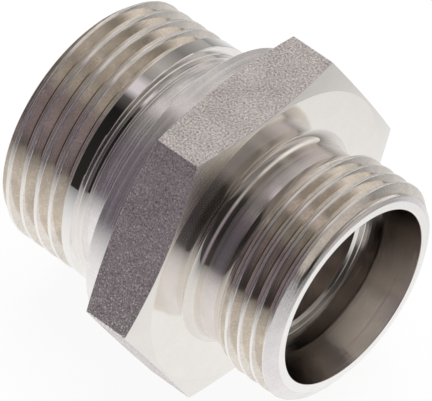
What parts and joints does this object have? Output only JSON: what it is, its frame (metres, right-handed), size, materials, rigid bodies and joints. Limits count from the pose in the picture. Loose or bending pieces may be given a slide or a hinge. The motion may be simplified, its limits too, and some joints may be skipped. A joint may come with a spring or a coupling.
{
  "type": "hydraulic fitting",
  "caption": "Straight male stud hydraulic coupling body in stainless steel, for a 22 mm tube and a G 1 port.",
  "frame": {"origin": "centre of the round collar's seating face, on the turning axis", "axes": "+X along the turning axis towards the tube's mouth, +Z square to a flat of the hexagon"},
  "size_m": [0.0429, 0.0474, 0.041],
  "materials": {
    "stainless_steel": "turned"
  },
  "bodies": {
    "root": {"coupling_body": "stainless_steel"}
  },
  "joints": []
}
